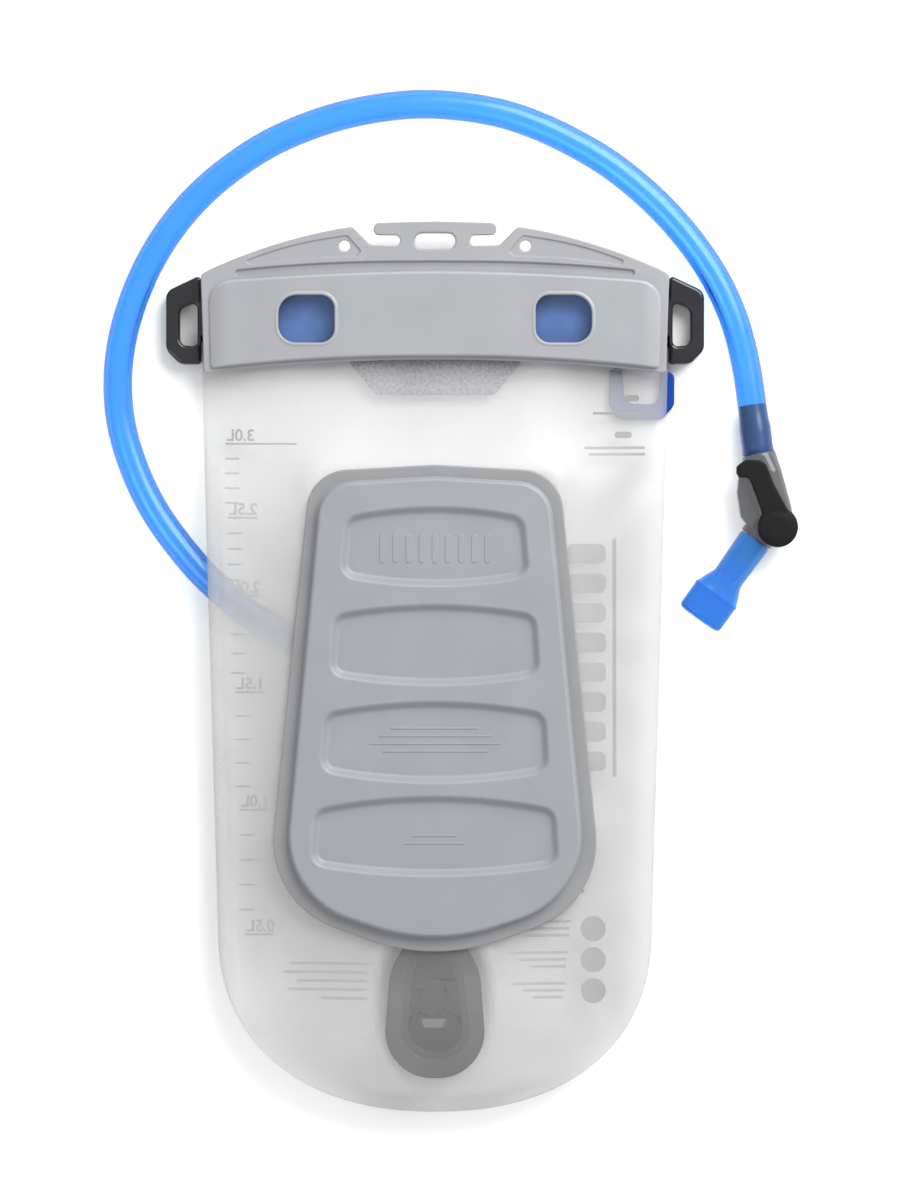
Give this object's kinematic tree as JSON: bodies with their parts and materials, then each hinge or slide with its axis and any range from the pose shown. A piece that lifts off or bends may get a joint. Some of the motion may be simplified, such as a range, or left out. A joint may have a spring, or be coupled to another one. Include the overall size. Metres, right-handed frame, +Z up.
{
  "type": "hydration bladder",
  "caption": "Flexible film water reservoir with a stiff back plate, a moulded hanging header, a zip mouth and a plug-in drink tube with shut-off and bite valve.",
  "frame": {"origin": "under the middle of the bag, on the surface it lies on, measured without the drink tube and what is on it", "axes": "+X to the object's right seen from above, +Y from the round bottom to the hang bar, +Z up, out of the back plate; the bag lies on its front"},
  "size_m": [0.3207, 0.4718, 0.041],
  "materials": {
    "film": "frosted clear film",
    "plate": "satin grey moulding",
    "header": "satin grey moulding",
    "zip": "blue extrusion",
    "gloss_black": "gloss black moulding",
    "port": "dark grey moulding",
    "tube": "clear blue tube",
    "smoke": "smoky clear moulding",
    "lever": "near-black moulding",
    "silicone": "blue silicone",
    "seal": "black rubber",
    "steel": "stainless"
  },
  "bodies": {
    "reservoir": {"back_film": "film", "front_film": "film", "back_plate": "plate", "header_panel": "header", "grip_tab": "port", "zip_strip_back": "zip", "zip_strip_front": "zip", "end_loop_left": "gloss_black", "end_loop_right": "gloss_black", "port_base": "port", "poppet_spring": "steel"},
    "latch": {"release_latch": "lever"},
    "poppet": {"poppet": "port"},
    "hose": {"quick_link_plug": "lever", "plug_o_ring": "seal", "drink_tube": "tube", "shutoff_body": "smoke"},
    "lever": {"shutoff_lever": "lever", "valve_core": "port", "core_o_ring": "seal", "lever_screw": "steel"},
    "mouthpiece": {"bite_valve": "silicone"},
    "slider": {"zip_slider": "gloss_black"},
    "pull": {"pull_strap": "seal", "pull_handle": "silicone"}
  },
  "joints": [
    {"name": "zip_slide", "type": "slide", "parent": "reservoir", "child": "slider", "axis": [-1, 0, 0], "range_m": [0, 0.182]},
    {"name": "pull_hinge", "type": "hinge", "parent": "slider", "child": "pull", "pos_m": [0.095, 0.1483, 0.0022], "axis": [1, 0, 0], "range_deg": [0, 120]},
    {"name": "tube_unplug", "type": "slide", "parent": "reservoir", "child": "hose", "axis": [0, 1, 0], "range_m": [0, 0.022]},
    {"name": "poppet_slide", "type": "slide", "parent": "reservoir", "child": "poppet", "axis": [0, 1, 0], "range_m": [0, 0.0024]},
    {"name": "release_button", "type": "slide", "parent": "reservoir", "child": "latch", "axis": [0, 0, 1], "range_m": [0, 0.0015], "stiffness_N_per_m": 600, "springref_m": -0.002},
    {"name": "shutoff_turn", "type": "hinge", "parent": "hose", "child": "lever", "pos_m": [0.1578, 0.0642, 0.0195], "axis": [0, 0, 1], "range_deg": [0, 90]},
    {"name": "mouthpiece_turn", "type": "hinge", "parent": "hose", "child": "mouthpiece", "pos_m": [0.1481, 0.0586, 0.009], "axis": [-0.5821, -0.8131, 0], "range_deg": [-90, 90]}
  ],
  "couplings": [
    {"joint": "poppet_slide", "follows": "tube_unplug", "ratio": 0.109}
  ]
}
